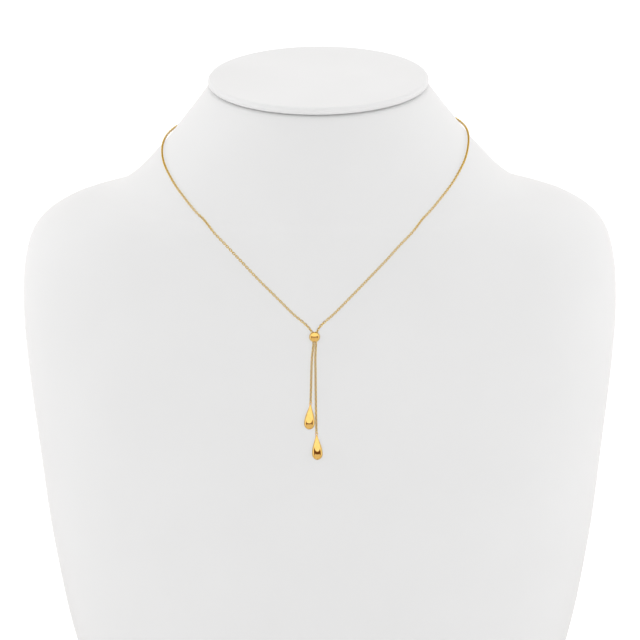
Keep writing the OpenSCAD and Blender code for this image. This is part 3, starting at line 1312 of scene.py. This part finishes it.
@dataclass(frozen=True)
class Softbox:
    """A soft-edged patch of light round the object, in degrees.

    Azimuth counts either way from the camera's side, and elevation from the horizon.
    """

    azimuth: Range
    elevation: Range
    strength: float
    edge: float = 4.0

    def light(self, bench: NodeBench, azimuth: Socket, elevation: Socket) -> Socket:
        """Light of the patch: its strength times a smooth step over each of its four edges.

        Args:
            bench: Bench of the world's tree.
            azimuth: Azimuth of a direction, in degrees.
            elevation: Its elevation, in degrees.

        Returns:
            The light from that direction.
        """
        light = self.strength
        for value, (low, high) in ((azimuth, self.azimuth), (elevation, self.elevation)):
            rising = bench.between(value, (low - self.edge, low), kind="SMOOTHSTEP")
            falling = bench.between(value, (high, high + self.edge), (1.0, 0.0), kind="SMOOTHSTEP")
            light = bench.math("MULTIPLY", bench.math("MULTIPLY", light, rising), falling)
        return light


@dataclass(frozen=True)
class FillLight:
    """A large soft panel that lights the bust and that the gold doesn't mirror.

    Azimuth counts from the camera's side to the right, elevation from the horizon, in degrees.
    """

    azimuth: float
    elevation: float
    strength: float
    size: Range = (2.2, 1.6)
    distance: float = 2.0
    aim_up: float = 0.2

    def hang(self) -> None:
        """Hangs the panel so that it shines at the bust, as bright as a background of its strength."""
        data = bpy.data.lights.new("fill_light", "AREA")
        data.shape = "RECTANGLE"
        data.size, data.size_y = self.size
        data.energy = WATTS_PER_AREA * self.size[0] * self.size[1] * self.strength
        light = bpy.data.objects.new("fill_light", data)
        turn, rise = math.radians(self.azimuth), math.radians(self.elevation)
        out = Vector((math.sin(turn) * math.cos(rise), -math.cos(turn) * math.cos(rise), math.sin(rise)))
        light.location = out * self.distance + Vector((0, 0, self.aim_up))
        light.rotation_euler = out.to_track_quat("Z", "Y").to_euler()
        light.visible_glossy = False
        light.visible_camera = False
        bpy.context.collection.objects.link(light)


@dataclass
class Studio:
    """Pale floor, soft light from all round with a dark bar in front for the gold, and the camera."""

    axis_y: float
    softboxes: tuple[Softbox, ...] = (
        Softbox(azimuth=(-20, 200), elevation=(22, 62), strength=1.12),
        Softbox(azimuth=(-20, 200), elevation=(66, 120), strength=1.2),
        Softbox(azimuth=(84, 200), elevation=(-20, 18), strength=1.1),
        Softbox(azimuth=(-20, 58), elevation=(-70, 2), strength=0.62),
        Softbox(azimuth=(-20, 58), elevation=(-120, -70), strength=0.4),
        Softbox(azimuth=(62, 90), elevation=(-120, -18), strength=0.65),
    )
    fills: tuple[FillLight, ...] = (
        FillLight(azimuth=98, elevation=18, strength=0.65),
        FillLight(azimuth=-98, elevation=18, strength=0.65),
        FillLight(azimuth=0, elevation=14, strength=0.9, size=(3.2, 0.6)),
    )
    ambient: float = 0.02
    mirror_dark: Color = (0.15, 0.065, 0.02)
    backdrop: float = 1.3
    floor_size: float = 9.0
    floor_color: Color = (0.93, 0.93, 0.93)
    floor_roughness: float = 0.8
    floor_specular: float = 0.1
    floor_glow: float = 0.15
    aim: tuple[float, float, float] = (0.0, -60 * MM, 199 * MM)
    distance: float = 1250 * MM
    elevation: float = math.radians(15.5)
    roll: float = math.radians(-0.4)
    lens: float = 174.0
    sensor: float = 36.0
    seen_distances: Range = (0.05, 50.0)

    def light_world(self) -> None:
        """Makes the world: softboxes for what lights and mirrors, plain white for what the camera sees."""
        world = bpy.data.worlds.new("studio_light")
        bpy.context.scene.world = world
        bench = NodeBench(world)
        direction = bench.add("ShaderNodeTexCoord").outputs["Generated"]
        parts = bench.add("ShaderNodeSeparateXYZ", {"Vector": direction}).outputs
        front = bench.math("MULTIPLY", parts["Y"], -1.0)
        sideways = bench.math("ABSOLUTE", parts["X"])
        azimuth = bench.math("DEGREES", bench.math("ARCTAN2", sideways, front))
        elevation = bench.math("DEGREES", bench.math("ARCSINE", parts["Z"]))
        light = self.ambient
        for softbox in self.softboxes:
            light = bench.math("ADD", light, softbox.light(bench, azimuth, elevation))
        path = bench.add("ShaderNodeLightPath").outputs
        strength = bench.math("ADD", light, bench.math("MULTIPLY", path["Is Camera Ray"], self.backdrop))
        inputs = {"Vector": self.mirror_dark, "Scale": path["Is Glossy Ray"]}
        mirrored = bench.add("ShaderNodeVectorMath", inputs, operation="SCALE")
        color = bench.add("ShaderNodeVectorMath", {0: mirrored.outputs[0], 1: strength}, operation="ADD")
        background = bench.add("ShaderNodeBackground", {"Color": color.outputs[0], "Strength": 1.0})
        bench.add("ShaderNodeOutputWorld", {"Surface": background.outputs["Background"]})

    def lay_floor(self) -> None:
        """Makes the floor, a pale sheet at z = 0 that the gold doesn't mirror."""
        half = self.floor_size / 2
        corners = [(-half, -half, 0), (half, -half, 0), (half, half, 0), (-half, half, 0)]
        mesh = bpy.data.meshes.new("floor")
        mesh.from_pydata(corners, [], [(0, 1, 2, 3)])
        material = bpy.data.materials.new("pale_floor")
        NodeBench(material).finish(
            {
                "Base Color": (*self.floor_color, 1),
                "Roughness": self.floor_roughness,
                "Specular IOR Level": self.floor_specular,
                "Emission Color": (1, 1, 1, 1),
                "Emission Strength": self.floor_glow,
            }
        )
        mesh.materials.append(material)
        floor = bpy.data.objects.new("floor", mesh)
        bpy.context.collection.objects.link(floor)
        floor.visible_glossy = False

    def place_camera(self) -> None:
        """Puts the camera where the photograph was taken from, and aims it at the chest."""
        data = bpy.data.cameras.new("photo_camera")
        data.lens = self.lens
        data.sensor_width = self.sensor
        camera = bpy.data.objects.new("photo_camera", data)
        bpy.context.collection.objects.link(camera)
        back = Vector((0, -math.cos(self.elevation), math.sin(self.elevation)))
        right = Vector((1, 0, 0))
        up = back.cross(right)
        turned_right = right * math.cos(self.roll) + up * math.sin(self.roll)
        turned_up = up * math.cos(self.roll) - right * math.sin(self.roll)
        aim = Vector(self.aim) + Vector((0, self.axis_y, 0))
        axes = Matrix((turned_right, turned_up, back)).transposed()
        camera.matrix_world = Matrix.Translation(aim + back * self.distance) @ axes.to_4x4()
        data.clip_start, data.clip_end = self.seen_distances
        bpy.context.scene.camera = camera

    def build(self) -> None:
        """Sets up the whole studio."""
        bpy.context.scene.view_settings.view_transform = "Standard"
        self.light_world()
        for fill in self.fills:
            fill.hang()
        self.lay_floor()
        self.place_camera()


def main() -> None:
    """Builds every piece in order, then the studio."""
    logging.basicConfig(level=logging.INFO, format="%(message)s")
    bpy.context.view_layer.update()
    back_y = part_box("neck_bust")[1].y
    shape = BustShape(axis_y=back_y - BustShape.back_depth)
    layout = Layout(shape, Link())
    polished = GoldFinish("polished_gold")
    drawn = GoldFinish(
        "chain_gold",
        color=(1.0, 0.78, 0.11),
        deep_color=(1.0, 0.70, 0.07),
        # painted shade at the links' ends and inner sides
        shade_color=(0.42, 0.22, 0.008),
        metallic=0.6,
        roughness=(0.12, 0.22),
        tone_cell=0.8 * MM,
        wave_cell=0.5 * MM,
    )
    NeckBust(shape, LeatheretteFinish("bust_leatherette")).build()
    CapPlate(shape, LeatheretteFinish("cap_leatherette", color=(0.71, 0.71, 0.71))).build()
    for side in Side:
        NeckStrand(layout, side, drawn).build()
    SlideBall(layout, polished).build()
    DropStrand(layout, Side.LEFT, drawn, polished, links=30, drop_turn=-0.45, belly_rise=1.2 * MM).build()
    DropStrand(layout, Side.RIGHT, drawn, polished, links=43, drop_turn=0.25).build()
    RingClasp(layout, polished).build()
    Studio(shape.axis_y).build()


if __name__ == "__main__":
    main()
